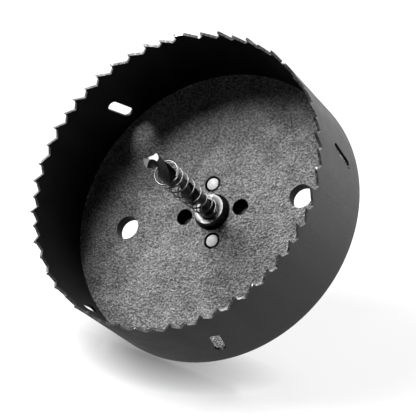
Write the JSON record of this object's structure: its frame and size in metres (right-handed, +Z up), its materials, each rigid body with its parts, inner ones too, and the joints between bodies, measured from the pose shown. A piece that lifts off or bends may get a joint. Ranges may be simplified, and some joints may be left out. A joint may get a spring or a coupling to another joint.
{
  "type": "hole saw",
  "caption": "Large cup-shaped hole saw with set teeth, pry slots, pilot drill, ejector spring and a hex-shank arbor with drive plate and lock nut.",
  "frame": {"origin": "centre of the bounding box's base, on the surface that the tool lies on", "axes": "+Z up; +X across the cup; the tool's axis lies in the YZ plane and rises towards -Y at 43.3 degrees, so that the mouth faces -Y and up, while the back plate's rim and the shank's end touch the surface"},
  "size_m": [0.1516, 0.1478, 0.1457],
  "materials": {
    "band_coat": "satin dark coat",
    "plate_coat": "coarse matte powder coat",
    "arbor_steel": "turned",
    "black_steel": "black oxide",
    "pin_steel": "ground",
    "nut_steel": "black oxide",
    "drill_steel": "dark oxide with ground flutes",
    "spring_wire": "bright wire"
  },
  "bodies": {
    "saw": {"tooth_band": "band_coat", "back_plate": "plate_coat", "arbor_body": "arbor_steel", "set_screw": "black_steel", "pilot_drill": "drill_steel"},
    "drive_collar": {"drive_plate": "black_steel", "drive_pins": "pin_steel"},
    "nut": {"lock_nut": "nut_steel"},
    "spring": {"ejector_spring": "spring_wire"}
  },
  "joints": [
    {"name": "drive_slide", "type": "slide", "parent": "saw", "child": "drive_collar", "axis": [0, -0.7281, 0.6855], "range_m": [-0.007, 0]},
    {"name": "nut_turn", "type": "hinge", "parent": "drive_collar", "child": "nut", "pos_m": [-0.00002, 0.02112, 0.05017], "axis": [0, -0.7281, 0.6855], "range_deg": [-1786, 0]},
    {"name": "spring_compress", "type": "slide", "parent": "saw", "child": "spring", "axis": [0, -0.7281, 0.6855], "range_m": [-0.0375, 0], "stiffness_N_per_m": 420, "deforming": ["ejector_spring"]}
  ],
  "couplings": [
    {"joint": "nut_turn", "follows": "drive_slide", "rad_per_m": 4452.7}
  ]
}
